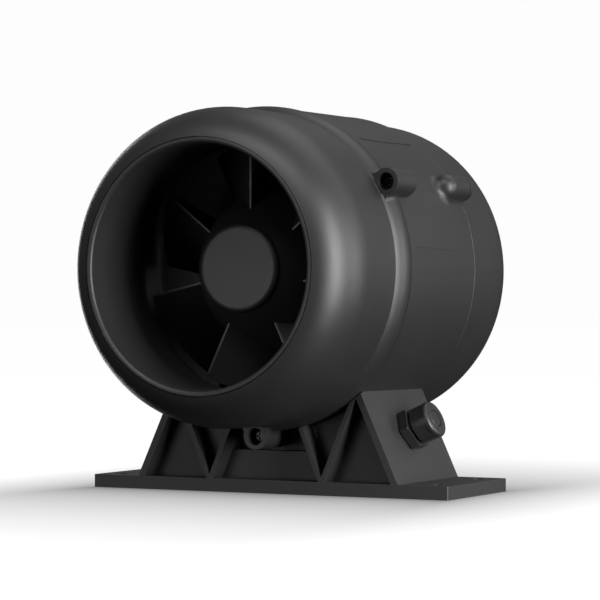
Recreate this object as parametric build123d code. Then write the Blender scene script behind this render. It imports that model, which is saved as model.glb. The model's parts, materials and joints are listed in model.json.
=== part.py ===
from build123d import *
import os
from math import acos, cos, degrees, radians, sin, tan

# Inline duct fan: a mixed-flow fan in a barrel on a trapezoidal foot.
# Frame: origin on the floor, under the middle of the casing. +Z is up, +Y is the way the air flows,
# and +X is the foot's long direction. Lengths are in millimetres, angles in degrees.

# ---- driving dimensions: casing ----
casing_length = 250.0          # inlet face to outlet face
axis_height = 139.3            # fan axis above the floor
duct_bore = 147.0              # bore of the inlet and outlet rings
bell_radius = 97.0             # outside of the front bell
rear_bell_radius = 98.0
bell_wall = 3.0
front_round_radial = 26.0      # elliptical rounding of the front bell
front_round_axial = 35.0
rear_round_radial = 23.0       # elliptical rounding of the rear bell, a little squarer
rear_round_axial = 25.0
front_seam_at = -38.0          # joint between front bell and barrel
rear_seam_at = 53.8            # joint between barrel and rear bell
seam_gap = 0.6                 # thickness of the seal in each joint
barrel_bore_radius = 96.1
barrel_front_radius = 100.0
barrel_rear_radius = 100.7
bead_radius = 100.5            # rounded shoulder at the back of the front bell
bead_width = 15.0
bead_peak_share = 0.55         # where along the bead its highest line lies
flange_thickness = 3.6         # front flange of the rear bell
flange_step = 0.6              # the flange is this much smaller than the barrel's edge
register_length = 4.5          # lip of each bell that centres in the barrel
register_wall = 1.9
register_clearance = 0.2
register_inset = 1.0           # the rear bell's inside narrows this much towards its lip
head_room = 20.0               # room cleared behind the rear screws for a driver
ridge_length = 71.0            # slim raised ridges along the barrel
ridge_middle_at = 5.8
ridge_width = 2.2
ridge_height = 0.5
ridge_angles = (7.5, 52.5, 97.5, 142.5, 187.5)

# ---- inlet and outlet rings ----
ring_wall = 3.3
ring_gap = 0.5                 # fine dark gap around each ring
ring_gap_depth = 6.0
ring_bore_length = 32.5        # straight bore after the rounded lip
ring_lip = 3.4
ring_step = 1.5                # small step where the straight bore ends
ring_tail = 6.4
ring_press_gap = 0.05
collar_wall = 2.6
collar_length = 21.0
seat_gap = 0.4                 # gap between ring tails and the parts behind them

# ---- air passage ----
passage_radius = 92.5          # straight part of the passage, at the guide vanes
passage_wall = 2.6
throat_step = 2.5              # the shroud's narrowest part is this much wider than the bore
throat_at = -58.0
shroud_end_at = -4.4
shroud_straight = 8.0
vane_ring_gap = 0.2
shroud_bend = 30.0             # radius that rounds the shroud's two bends

# ---- impeller ----
blade_count = 7
blade_front_at = -57.0
blade_back_at = -7.0
blade_thickness = 2.0
blade_edge_share = 0.4         # thickness of a blade's leading edge, as a share of its middle
blade_tip_gap = 1.8            # blade tip to shroud
blade_corner = 5.0             # rounded front tip corner
blade_root_wrap = 42.0         # sideways travel of a blade at the hub
blade_tip_wrap = 66.0          # and at the tip
blade_camber = 5.0
blade_overrun = 8.0            # and how far behind its back edge
blade_loft_top = 98.0          # the last section stands beyond every tip
blade_lead = 1.5               # how far a blade is drawn ahead of its front edge, then trimmed
blade_phase = 37.5             # angle of the first leading edge, from +X towards +Z
hub_front_radius = 27.0
hub_front_at = -70.0
hub_mid_radius = 38.0
hub_back_radius = 57.2
hub_back_at = -0.6
hub_wall = 2.5
nose_radius = 27.2
nose_front_at = -74.0
nose_rounding = 3.2
nose_skirt_length = 7.0
nose_skirt_wall = 2.0
nose_clearance = 0.05
nose_seat_gap = 0.1
hub_flange_thickness = 4.0
impeller_screw_circle = 24.0

# ---- motor ----
rotor_radius = 42.0
rotor_wall = 2.0
rotor_front_at = -40.0
rotor_back_at = 2.0
rotor_disc = 2.5
rotor_core_depth = 3.6
core_front_at = -31.0
core_back_at = -9.0
air_gap = 0.5
stator_yoke_radius = 21.0
stator_slots = 12
tooth_width = 5.2
tooth_tip = 2.4
coil_thickness = 3.4
coil_overhang = 3.6
coil_gap = 0.3
shaft_radius = 4.0
shaft_front_at = -43.5
shaft_back_at = 12.0
shaft_running_gap = 0.04
bearing_radius = 11.0
bearing_width = 7.0
bearing_fit = 0.02
bearing_front_at = -34.0
bearing_back_at = -3.0
bearing_tube_wall = 2.6
base_disc_radius = 53.6
base_front_at = 6.0
base_thickness = 4.0
clip_radius = 6.6
clip_thickness = 1.2

# ---- guide vanes and tail cone ----
vane_count = 9
vane_hub_radius = 57.0
vane_hub_wall = 3.2
vane_front_at = 5.0
vane_back_at = 46.0
vane_thickness = 2.2
vane_travel = 13.0
vane_bow = 5.0
vane_sink = 1.5                # vane ends run this far into the hub and the ring
strut_to_vane = 20.0           # angle from the lead's strut to the first vane
vane_body_front_at = -4.0
vane_body_back_at = 49.2
hub_face_gap = 2.4
motor_flange_bore = 38.0
motor_flange_thickness = 3.2
motor_screw_circle = 45.5
tail_length = 35.0
tail_wall = 2.5
tail_flat_radius = 4.0
tail_lip_length = 5.0
tail_lip_wall = 2.4
tail_lip_gap = 0.1

# ---- fasteners ----
screw_head_radius = 3.8
screw_head_height = 2.6
screw_shank_radius = 2.0
thread_gap = 0.02
clearance_hole_radius = 2.2
cross_width = 1.1
cross_length = 4.6
cross_depth = 1.5
casing_screw_bite = 9.0        # thread length of a casing screw in the barrel
short_screw_length = 6.0
countersink_radius = 4.3
countersink_depth = 2.1
casing_screw_angles = (30.0, 150.0, 270.0)
casing_screw_circle = 103.4    # radius at which the casing screws stand
lug_radius = 8.1
front_lug_fillet = 3.5
rear_lug_fillet = 5.0
counterbore_radius = 5.4
front_lug_at = -52.0
counterbore_depth = 8.5
scallop_length = 1.0           # the bell is cleared this far in front of a lug's face
boss_radius = 5.6              # boss of the barrel inside each front lug
lug_gap = 0.15
front_lug_end_at = -25.0
rear_lug_at = 25.5
lug_overrun = 12.0             # a front lug is drawn this much longer, then trimmed

# ---- foot ----
plate_length = 250.0
plate_width = 87.5
plate_thickness = 8.3
plate_offset = 3.5             # plate centre, downstream of the casing's middle
plate_edge_round = 0.8
side_wall_foot = 91.8          # outer face of a slanted wall, at the plate
side_wall_lean = 24.55         # from the vertical
side_wall_width = 4.7          # measured level
web_recess = 13.0              # webs stand this far inside the plate's long edges
web_thickness = 3.0
rib_foot = 39.5                # point of each V, from the centre
rib_lean = 22.8
rib_thickness = 2.8
saddle_thickness = 3.2
saddle_gap = 0.15
saddle_screw_angle = 30.0      # to each side of straight down
saddle_screw_reach = 13.0
pocket_half_width = 30.0       # pockets under the barrel, for the lowest casing screws
pocket_clearance = 1.8         # below the lowest lugs
front_pocket_depth = 12.0
rear_pocket_depth = 17.5
wall_top_drop = 46.0           # the walls end this far below the axis
bead_clearance = 0.6
foot_hole_radius = 3.25
foot_hole_spacing_x = 224.0
foot_hole_spacing_y = 58.5
window_length = 132.0
window_width = 46.0
cover_margin = 10.0
cover_thickness = 3.0
cover_gap = 0.3
cover_screw_length = 7.2

# ---- cable gland on the right-hand wall ----
gland_up_slope = 33.2          # gland axis, measured up the wall's face from the plate
gland_across_flats = 24.0
gland_hex_height = 5.6
gland_thread_radius = 8.6
gland_thread_length = 7.0      # outside thread, under the cap
gland_inside_radius = 9.8      # thread through the wall
gland_inside_length = 13.0
gland_bore_radius = 5.7
gland_washer_thickness = 1.0
locknut_thickness = 4.0
cap_radius = 11.7
cap_gap_at = 8.6               # start of the cap above the wall
cap_length = 12.2
cap_rounding = 2.0
cap_thread_gap = 0.35
cap_hole_radius = 5.55
cap_across_flats = 22.2        # six shallow flats for a spanner
slip_ring_length = 1.6
plug_radius = 5.2
plug_gap = 0.2

# ---- terminal chamber ----
lead_angle = -68.0
lead_radius = 2.6
lead_at = 17.0
lead_start = 52.0
lead_bend = 14.0
lead_end_height = 20.62        # where the lead meets the terminal block
grommet_radius = 5.4
grommet_flange_radius = 6.4
grommet_flange = 1.6
strut_radius = 5.2
lead_clearance = 0.3
block_low = (39.0, 12.5)       # x, z of the terminal block's lower corner
block_size = (24.0, 12.5, 17.0)
block_pole_count = 3
block_well_radius = 2.9
block_well_depth = 6.0
capacitor_radius = 12.0
capacitor_length = 42.0
capacitor_x = -49.0
capacitor_drop = 2.0           # its middle is this far below the pockets' floor
clip_wall = 1.6
clip_width = 8.0
capacitor_end_gap = 3.0

# ---- derived places ----
inlet_face = -casing_length / 2
outlet_face = casing_length / 2
bore_radius = duct_bore / 2
ring_radius = bore_radius + ring_wall
throat_radius = bore_radius + throat_step
bell_hole_radius = ring_radius + ring_gap
barrel_front_at = front_seam_at + seam_gap / 2
barrel_back_at = rear_seam_at - seam_gap / 2
bell_back_at = front_seam_at - seam_gap / 2
flange_front_at = rear_seam_at + seam_gap / 2
flange_back_at = flange_front_at + flange_thickness
flange_radius = barrel_rear_radius - flange_step
register_radius = barrel_bore_radius - register_clearance
slope = tan(radians(side_wall_lean))
plate_front = plate_offset - plate_width / 2
plate_back = plate_offset + plate_width / 2
web_front_face = plate_front + web_recess
web_back_face = plate_back - web_recess
saddle_radius = barrel_rear_radius + saddle_gap
foot_top = axis_height - wall_top_drop
pocket_floor = axis_height - casing_screw_circle - lug_radius - pocket_clearance
capacitor_z = pocket_floor - capacitor_drop
lead_drop = (axis_height - lead_end_height) / sin(radians(-lead_angle))
vane_ring_outer = barrel_bore_radius - vane_ring_gap


# ---- helpers ----
def on_axis(shape):
    """Lift a shape made about the Y axis up to the fan's axis."""
    return Pos(0, 0, axis_height) * shape


def turned(shape, angle):
    """Turn a shape about the Y axis, from +X towards +Z."""
    return Rot(0, -angle, 0) * shape


def spun(*points):
    """Revolve a straight-sided outline of (radius, y) points about the Y axis."""
    return revolve(make_face(Polyline(*points, close=True)), Axis.Y)


def spun_curve(curve):
    return revolve(make_face(curve), Axis.Y)


def rod(radius, start, end, x=0.0, z=0.0):
    """A cylinder along Y."""
    bar = Cylinder(radius, end - start, align=(Align.CENTER, Align.CENTER, Align.MIN))
    return Pos(x, start, z) * Rot(-90, 0, 0) * bar


def tube(outer, inner, start, end):
    return rod(outer, start, end) - rod(inner, start - 1, end + 1)


def cone_barrel(extra, start, end):
    """The barrel's outer skin as a solid, made larger by extra all round."""
    rate = (barrel_rear_radius - barrel_front_radius) / (barrel_back_at - barrel_front_at)
    first = barrel_front_radius + rate * (start - barrel_front_at) + extra
    last = barrel_front_radius + rate * (end - barrel_front_at) + extra
    return spun((0, start), (first, start), (last, end), (0, end))


def block(x_low, x_high, y_low, y_high, z_low, z_high):
    size = (x_high - x_low, y_high - y_low, z_high - z_low)
    return Pos(x_low, y_low, z_low) * Box(*size, align=(Align.MIN, Align.MIN, Align.MIN))


def upright(points, y_low, y_high):
    """A prism whose (x, z) outline stands in the XZ plane, from y_low to y_high."""
    face = make_face(Polyline(*points, close=True))
    prism = extrude(face, amount=y_high - y_low)
    return Pos(0, y_high, 0) * Rot(90, 0, 0) * prism


def screw(length, radius=screw_shank_radius):
    """A pan-head cross screw. Its head's underside is at the origin and its shank points down."""
    head = Cylinder(screw_head_radius, screw_head_height, align=(Align.CENTER, Align.CENTER, Align.MIN))
    head = fillet(head.edges().filter_by(GeomType.CIRCLE).sort_by(Axis.Z)[-1], screw_head_height * 0.45)
    for angle in (0, 90):
        arm = Box(cross_length, cross_width, 2 * cross_depth)
        head -= Pos(0, 0, screw_head_height) * Rot(0, 0, angle) * arm
    shank = Cylinder(radius - thread_gap, length, align=(Align.CENTER, Align.CENTER, Align.MAX))
    return head + shank


def group(shapes):
    return Compound(children=[part.solid() for part in shapes])


def bell_arc(side, radial, axial, face, shrink, hole):
    """Quarter ellipse from a bell's side to its hole. It bulges towards the inlet or outlet face."""
    toward = 1 if face > 0 else -1
    centre = (side - radial, face - toward * axial)
    across = radial - shrink
    along = axial - shrink
    limit = degrees(acos((hole - centre[0]) / across))
    return EllipticalCenterArc(centre, across, along, start_angle=0, arc_size=toward * limit)


def front_arc(shrink, hole):
    return bell_arc(bell_radius, front_round_radial, front_round_axial, inlet_face, shrink, hole)


def rear_arc(shrink, hole):
    return bell_arc(rear_bell_radius, rear_round_radial, rear_round_axial, outlet_face, shrink, hole)


# ---- casing ----
def bell_skin():
    """The front bell as a solid body with its bead: everything inside its outer surface."""
    outer = front_arc(0, bell_hole_radius)
    bead_front = bell_back_at - bead_width
    bead_peak = bead_front + bead_peak_share * bead_width
    side = Line(outer @ 0, (bell_radius, bead_front))
    back = (barrel_front_radius, bell_back_at)
    bead = ThreePointArc((bell_radius, bead_front), (bead_radius, bead_peak), back)
    closing = Polyline(back, (0, bell_back_at), (0, (outer @ 1).Y), outer @ 1)
    return spun_curve([outer, side, bead, closing])


def bell_hollow():
    """The room inside the front bell, open to the back."""
    inner = front_arc(bell_wall, bell_hole_radius)
    end = bell_back_at + 1
    closing = Polyline(inner @ 0, (bell_radius - bell_wall, end), (0, end), (0, inlet_face - 1),
                       (bell_hole_radius, inlet_face - 1), inner @ 1)
    return spun_curve([inner, closing])


def blended(body, lug, blend_radius, end):
    """Join a lug to a body and round the corner between them, except in the plane where both end."""
    joined = body + lug
    meeting = [edge for edge in new_edges(body, lug, combined=joined) if edge.center().Y < end - 0.3]
    return fillet(meeting, blend_radius)


def front_lug_cap():
    """The rest of a front lug, which reaches back over the barrel and its boss."""
    lug = rod(lug_radius, bell_back_at, front_lug_end_at, casing_screw_circle)
    lug += block(bell_radius, casing_screw_circle, bell_back_at, front_lug_end_at, -lug_radius, lug_radius)
    lug -= cone_barrel(lug_gap, bell_back_at - 1, front_lug_end_at + 1)
    return lug - rod(boss_radius + lug_gap, bell_back_at - 1, front_lug_end_at + 1, casing_screw_circle)


def make_front_bell():
    skin = bell_skin()
    long_lug = rod(lug_radius, front_lug_at - lug_overrun, bell_back_at, casing_screw_circle)
    behind_face = rod(casing_length, front_lug_at, bell_back_at)
    bell = skin
    for angle in casing_screw_angles:
        bell += blended(skin, turned(long_lug, angle), front_lug_fillet, bell_back_at) & behind_face
    bell -= bell_hollow()
    lip_at = front_arc(0, bell_hole_radius).position_at(1).Y
    collar_end = lip_at + collar_length
    bell += tube(bell_hole_radius + collar_wall, bell_hole_radius, lip_at + 2.0, collar_end)
    bell += tube(bell_hole_radius + 1.0, ring_radius + ring_press_gap, lip_at + ring_gap_depth, collar_end)
    bell += tube(register_radius, register_radius - register_wall, bell_back_at - bell_wall,
                 bell_back_at + register_length)
    bell += tube(barrel_front_radius, register_radius - register_wall, bell_back_at - bell_wall, bell_back_at)
    for angle in casing_screw_angles:
        bell += turned(front_lug_cap(), angle)
    for angle in casing_screw_angles:
        for radius, start, end in ((lug_radius, front_lug_at - scallop_length, front_lug_at),
                                   (counterbore_radius, front_lug_at - 1, front_lug_at + counterbore_depth),
                                   (clearance_hole_radius, front_lug_at, bell_back_at + 1)):
            bell -= turned(rod(radius, start, end, casing_screw_circle), angle)
    return on_axis(bell)


def barrel_ridge():
    """One slim raised ridge, pointed at both ends, standing at +X."""
    half_length = ridge_length / 2
    half_width = ridge_width / 2
    one_side = ThreePointArc((0, -half_length), (half_width, 0), (0, half_length))
    other_side = ThreePointArc((0, half_length), (-half_width, 0), (0, -half_length))
    bar = extrude(make_face([one_side, other_side]), amount=barrel_rear_radius + 2)
    bar = Pos(0, ridge_middle_at, 0) * Rot(0, 90, 0) * bar
    return bar & cone_barrel(ridge_height, barrel_front_at, barrel_back_at)


def make_barrel():
    skin = cone_barrel(0, barrel_front_at, barrel_back_at)
    nose_centre = rear_lug_at + lug_radius
    lug = rod(lug_radius, nose_centre, barrel_back_at, casing_screw_circle)
    lug += Pos(casing_screw_circle, nose_centre, 0) * Sphere(lug_radius)
    boss = rod(boss_radius, barrel_front_at, front_lug_end_at - lug_gap, casing_screw_circle)
    barrel = skin
    for angle in casing_screw_angles:
        barrel += blended(skin, turned(lug, angle), rear_lug_fillet, barrel_back_at)
    for angle in casing_screw_angles:
        barrel += turned(boss, angle)
    for angle in ridge_angles:
        barrel += turned(barrel_ridge(), angle)
    barrel -= rod(barrel_bore_radius, barrel_front_at - 1, barrel_back_at + 1)
    for angle in casing_screw_angles:
        for start, end in ((barrel_front_at - 1, barrel_front_at + casing_screw_bite + 1),
                           (barrel_back_at - casing_screw_bite - 1, barrel_back_at + 1)):
            barrel -= turned(rod(screw_shank_radius, start, end, casing_screw_circle), angle)
    barrel -= lead_bore(grommet_radius)
    for angle, along in saddle_screw_places():
        barrel -= radial_hole(screw_shank_radius, angle, along)
    return on_axis(barrel)


def make_rear_bell():
    outer = rear_arc(0, bell_hole_radius)
    inner = rear_arc(bell_wall, bell_hole_radius)
    register_front = flange_front_at - register_length
    side = Polyline(outer @ 0, (rear_bell_radius, flange_back_at), (flange_radius, flange_back_at),
                    (flange_radius, flange_front_at), (register_radius, flange_front_at),
                    (register_radius, register_front), (register_radius - register_wall, register_front),
                    (rear_bell_radius - bell_wall - register_inset, flange_back_at), inner @ 0)
    bell = spun_curve([outer, side, inner, Line(inner @ 1, outer @ 1)])
    lip_at = (outer @ 1).Y
    collar_start = lip_at - collar_length
    bell += tube(bell_hole_radius + collar_wall, bell_hole_radius, collar_start, lip_at - 2.0)
    bell += tube(bell_hole_radius + 1.0, ring_radius + ring_press_gap, collar_start, lip_at - ring_gap_depth)
    for angle in casing_screw_angles:
        tab = rod(lug_radius, flange_front_at, flange_back_at, casing_screw_circle)
        tab -= rod(rear_bell_radius - bell_wall, flange_front_at - 1, flange_back_at + 1)
        bell += turned(tab, angle)
    for angle in casing_screw_angles:
        for radius, start, end in ((clearance_hole_radius, flange_front_at - 1, flange_back_at + 1),
                                   (screw_head_radius + 1.0, flange_back_at, flange_back_at + head_room)):
            bell -= turned(rod(radius, start, end, casing_screw_circle), angle)
    return on_axis(bell)


def make_seal(at, outer):
    return on_axis(tube(outer, register_radius + 0.1, at - seam_gap / 2, at + seam_gap / 2))


def make_front_screws():
    head_at = front_lug_at + counterbore_depth
    length = barrel_front_at + casing_screw_bite - head_at
    shape = Pos(casing_screw_circle, head_at, 0) * Rot(90, 0, 0) * screw(length)
    return group([on_axis(turned(shape, angle)) for angle in casing_screw_angles])


def make_rear_screws():
    length = flange_back_at - barrel_back_at + casing_screw_bite
    shape = Pos(casing_screw_circle, flange_back_at, 0) * Rot(-90, 0, 0) * screw(length)
    return group([on_axis(turned(shape, angle)) for angle in casing_screw_angles])


def ring_outline(lip_at):
    """Outline of the inlet ring: rounded lip, straight bore, small step and a wider tail."""
    bore_end = inlet_face + ring_lip + ring_bore_length
    tail_end = bore_end + ring_step + ring_tail
    lip_middle = (bore_radius + 0.30 * ring_wall, inlet_face + 0.28 * ring_lip)
    lip = ThreePointArc((ring_radius, lip_at), lip_middle, (bore_radius, inlet_face + ring_lip))
    body = Polyline(lip @ 1, (bore_radius, bore_end), (bore_radius + ring_step, bore_end + ring_step),
                    (bore_radius + ring_step, tail_end), (ring_radius, tail_end), lip @ 0)
    return [lip, body]


def make_inlet_ring():
    lip_at = front_arc(0, ring_radius).position_at(1).Y
    return on_axis(spun_curve(ring_outline(lip_at)))


def make_outlet_ring():
    lip_at = rear_arc(0, ring_radius).position_at(1).Y
    return on_axis(mirror(spun_curve(ring_outline(-lip_at)), Plane.XZ))


def ring_tail_at():
    return inlet_face + ring_lip + ring_bore_length + ring_step + ring_tail


# ---- air passage ----
def shroud_line(offset):
    """Inner line of the impeller shroud, moved outwards by offset."""
    start = (throat_radius + offset, ring_tail_at() + seat_gap)
    throat = (throat_radius + offset, throat_at - offset * 0.3)
    wide = (passage_radius + offset, shroud_end_at - shroud_straight - offset * 0.3)
    end = (passage_radius + offset, shroud_end_at)
    return FilletPolyline(start, throat, wide, end, radius=shroud_bend * 0.5)


def make_impeller_shroud():
    inner = shroud_line(0)
    outer = shroud_line(passage_wall)
    shell = spun_curve([inner, Line(inner @ 1, outer @ 1), outer, Line(outer @ 0, inner @ 0)])
    seat = tube(vane_ring_outer, passage_radius + passage_wall - 0.5, shroud_end_at - 5, shroud_end_at)
    return on_axis(shell + seat)


def lead_bore(radius):
    """The hole that the motor lead takes, out through the passage and the barrel."""
    bar = Cylinder(radius, 80, align=(Align.CENTER, Align.CENTER, Align.MIN))
    return turned(Pos(vane_hub_radius - 8, lead_at, 0) * Rot(0, 90, 0) * bar, lead_angle)


def radial_hole(radius, angle, along):
    bar = Cylinder(radius, 20, align=(Align.CENTER, Align.CENTER, Align.MIN))
    return turned(Pos(barrel_bore_radius + 0.8, along, 0) * Rot(0, 90, 0) * bar, angle)


def swept_plate(travel, bow, thickness, front, back, edge_share=1.0):
    """Section of a bowed plate that travels sideways on its way from front to back. Its front edge
    is thinner than its middle by edge_share."""
    middle = (-(travel / 2) - bow, (front + back) / 2)
    line = ThreePointArc((0, front), middle, (-travel, back))
    sides = []
    for way in (1, -1):
        points = []
        for along, share in ((0, edge_share), (0.5, 1.0), (1, 1.0)):
            tangent = line % along
            points.append(line @ along + Vector(-tangent.Y, tangent.X) * (way * share * thickness / 2))
        sides.append(ThreePointArc(*points))
    left, right = sides
    return make_face([left, Line(left @ 1, right @ 1), right, Line(right @ 0, left @ 0)])


def make_guide_vanes():
    hub = tube(vane_hub_radius, vane_hub_radius - vane_hub_wall,
               base_front_at - hub_face_gap, vane_body_back_at)
    flange_at = base_front_at + base_thickness
    hub += tube(vane_hub_radius - 1, motor_flange_bore, flange_at, flange_at + motor_flange_thickness)
    ring = tube(vane_ring_outer, passage_radius, vane_body_front_at, vane_body_back_at)
    section = swept_plate(vane_travel, vane_bow, vane_thickness, vane_front_at, vane_back_at)
    root = vane_hub_radius - vane_sink
    vane = extrude(section, amount=passage_radius + vane_sink - root)
    vane = Rot(0, 90, 0) * Pos(0, 0, root) * vane
    strut = Cylinder(strut_radius, passage_radius + 1 - root, align=(Align.CENTER, Align.CENTER, Align.MIN))
    body = hub + ring + turned(Pos(root, lead_at, 0) * Rot(0, 90, 0) * strut, lead_angle)
    for index in range(vane_count):
        body += turned(vane, lead_angle + strut_to_vane + index * 360 / vane_count)
    body -= lead_bore(lead_radius + lead_clearance)
    for angle in motor_screw_angles():
        body -= turned(rod(clearance_hole_radius, flange_at - 1, flange_at + 10, motor_screw_circle), angle)
    return on_axis(body)


def make_outlet_cone():
    start = vane_body_back_at + seat_gap / 2
    end = -ring_tail_at() - seat_gap
    inner = FilletPolyline((passage_radius, start), (passage_radius, start + 6), (throat_radius, end - 8),
                           (throat_radius, end), radius=shroud_bend * 0.5)
    grow = passage_wall - 0.4
    outer = FilletPolyline((passage_radius + grow, start), (passage_radius + grow, start + 6.5),
                           (throat_radius + grow, end - 7.5), (throat_radius + grow, end),
                           radius=shroud_bend * 0.5)
    register_inner = register_radius - register_wall
    cone = spun_curve([inner, Line(inner @ 1, outer @ 1), outer, Line(outer @ 0, inner @ 0)])
    cone &= rod(register_inner - 0.15, start - 1, end + 1)
    return on_axis(cone)


def dome(radius, length, start):
    """Half of a spheroid, from its flat side at start to a small flat at its tip."""
    sweep_angle = degrees(acos(tail_flat_radius / radius))
    arc = EllipticalCenterArc((0, start), radius, length, start_angle=0, arc_size=sweep_angle)
    tip = (0, (arc @ 1).Y)
    return spun_curve([arc, Line(arc @ 1, tip), Line(tip, (0, start)), Line((0, start), arc @ 0)])


def make_tail_cone():
    start = vane_body_back_at + 0.1
    lip_radius = vane_hub_radius - vane_hub_wall - tail_lip_gap
    hollow_radius = lip_radius - tail_lip_wall
    cone = dome(vane_hub_radius, tail_length, start) + rod(lip_radius, start - tail_lip_length, start)
    cone -= dome(hollow_radius, tail_length - tail_wall, start)
    cone -= rod(hollow_radius, start - tail_lip_length - 1, start)
    return on_axis(cone)


# ---- impeller ----
def hub_line(offset):
    """Outer line of the impeller hub, moved inwards by offset."""
    front = (hub_front_radius - offset, hub_front_at)
    middle = (hub_mid_radius - offset, blade_front_at + offset * 0.6)
    back = (hub_back_radius - offset, hub_back_at)
    return front, middle, back


def hub_curve(offset):
    front, middle, back = hub_line(offset)
    return ThreePointArc(front, ((middle[0] + 8.6), (middle[1] + 17.0)), back)


def blade_sections():
    """Bowed strips, from inside the hub to beyond the tip, that a blade is lofted through."""
    sections = []
    for height, travel in ((22.0, blade_root_wrap * 0.80), (50.0, blade_root_wrap * 1.15),
                           (blade_loft_top, blade_tip_wrap * 1.15)):
        bow = blade_camber * height / blade_loft_top
        section = swept_plate(travel, bow, blade_thickness, blade_front_at - blade_lead,
                              blade_back_at + blade_overrun, blade_edge_share)
        sections.append(Pos(0, 0, height) * section)
    return sections


def make_impeller():
    outer = hub_curve(0)
    inner_front, inner_middle, inner_back = hub_line(hub_wall)
    inner = ThreePointArc(inner_front, (inner_middle[0] + 8.2, inner_middle[1] + 16.6), inner_back)
    body = spun_curve([outer, Line(outer @ 1, inner @ 1), inner, Line(inner @ 0, outer @ 0)])
    flange_front = rotor_front_at - hub_flange_thickness
    body += tube(hub_back_radius, shaft_radius + 1.0, flange_front, rotor_front_at) & solid_hub(0.4)
    blade = (Rot(0, 90, 0) * loft(blade_sections()) & blade_bounds()).solid()
    for index in range(blade_count):
        body += turned(blade, blade_phase + index * 360 / blade_count)
    for angle in impeller_screw_angles():
        hole = rod(clearance_hole_radius, flange_front - 1, rotor_front_at + 1, impeller_screw_circle)
        body -= turned(hole, angle)
    return on_axis(body)


def solid_hub(inset):
    """Everything inside the hub's outer surface, less a thin layer."""
    outer = hub_curve(inset)
    closing = Polyline(outer @ 1, (0, hub_back_at), (0, hub_front_at), outer @ 0)
    return spun_curve([outer, closing])


def blade_bounds():
    """The space that the blades fill: between hub and shroud, with a rounded front tip corner."""
    rate = (passage_radius - throat_radius) / (shroud_end_at - shroud_straight - throat_at)
    tip_front = throat_radius - blade_tip_gap
    tip_back = throat_radius + rate * (blade_back_at - 4 - throat_at) - blade_tip_gap - 2.2
    outline = make_face(Polyline((10, blade_front_at), (tip_front, blade_front_at),
                                 (tip_front + 1.5, blade_front_at + 8), (tip_back, blade_back_at),
                                 (10, blade_back_at), close=True))
    corner = outline.vertices().sort_by_distance((tip_front, blade_front_at))[0]
    return revolve(fillet(corner, blade_corner), Axis.Y) - solid_hub(0.8)


def make_nose_cap():
    seat = hub_front_at - nose_seat_gap
    profile = make_face(Polyline((0, nose_front_at), (nose_radius, nose_front_at),
                                 (nose_radius, seat), (0, seat), close=True))
    corner = profile.vertices().sort_by_distance((nose_radius, nose_front_at))[0]
    cap = revolve(fillet(corner, nose_rounding), Axis.Y)
    skirt_radius = hub_front_radius - hub_wall - nose_clearance
    cap += tube(skirt_radius, skirt_radius - nose_skirt_wall, seat - 1.0, hub_front_at + nose_skirt_length)
    return on_axis(cap)


def impeller_screw_angles():
    return [index * 120 for index in range(3)]


def make_impeller_screws():
    head_at = rotor_front_at - hub_flange_thickness
    shape = Pos(impeller_screw_circle, head_at, 0) * Rot(90, 0, 0) * screw(hub_flange_thickness + rotor_disc)
    return group([on_axis(turned(shape, angle)) for angle in impeller_screw_angles()])


# ---- motor ----
def make_rotor_cup():
    cup = rod(rotor_radius, rotor_front_at, rotor_back_at)
    cup = fillet(cup.edges().group_by(Axis.Y)[0], 2.5)
    cup -= rod(rotor_radius - rotor_wall, rotor_front_at + rotor_disc, rotor_back_at + 1)
    cup -= rod(shaft_radius + thread_gap, rotor_front_at - 1, rotor_back_at)
    for angle in impeller_screw_angles():
        hole = rod(screw_shank_radius, rotor_front_at - 1, rotor_front_at + 10, impeller_screw_circle)
        cup -= turned(hole, angle)
    return on_axis(cup)


def make_rotor_core():
    outer = rotor_radius - rotor_wall - thread_gap
    return on_axis(tube(outer, outer - rotor_core_depth, core_front_at, core_back_at))


def make_shaft():
    shaft = rod(shaft_radius, shaft_front_at, shaft_back_at)
    shaft = chamfer(shaft.edges().filter_by(GeomType.CIRCLE), 0.5)
    clip_at = bearing_back_at + bearing_width + 0.4
    shaft -= tube(shaft_radius + 1, shaft_radius - 0.5, clip_at, clip_at + clip_thickness)
    return on_axis(shaft)


def make_shaft_clip():
    clip_at = bearing_back_at + bearing_width + 0.4
    ring = tube(clip_radius, shaft_radius - 0.5 + thread_gap, clip_at, clip_at + clip_thickness)
    ring -= block(0, clip_radius + 1, clip_at - 1, clip_at + 3, -1.4, 1.4)
    return on_axis(ring)


def make_bearing(front):
    inner = shaft_radius + shaft_running_gap
    race_in = tube(inner + 2.0, inner, front, front + bearing_width)
    race_out = tube(bearing_radius - bearing_fit, bearing_radius - 2.0, front, front + bearing_width)
    shields = tube(bearing_radius - 2.0, inner + 2.0, front + 0.6, front + bearing_width - 0.6)
    return on_axis(race_in + race_out + shields)


def stator_radius():
    return rotor_radius - rotor_wall - thread_gap - rotor_core_depth - air_gap


def make_stator_core():
    tube_outer = bearing_radius + bearing_tube_wall
    core = tube(stator_yoke_radius, tube_outer + thread_gap, core_front_at, core_back_at)
    rim = tube(stator_radius(), stator_radius() - tooth_tip, core_front_at, core_back_at)
    slot_opening = 2.2
    for index in range(stator_slots):
        angle = index * 360 / stator_slots
        tooth = block(stator_yoke_radius - 1, stator_radius() - tooth_tip / 2, core_front_at, core_back_at,
                      -tooth_width / 2, tooth_width / 2)
        core += turned(tooth, angle)
    for index in range(stator_slots):
        angle = (index + 0.5) * 360 / stator_slots
        rim -= turned(block(stator_radius() - 6, stator_radius() + 2, core_front_at - 1, core_back_at + 1,
                            -slot_opening / 2, slot_opening / 2), angle)
    return on_axis(core + rim)


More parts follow.
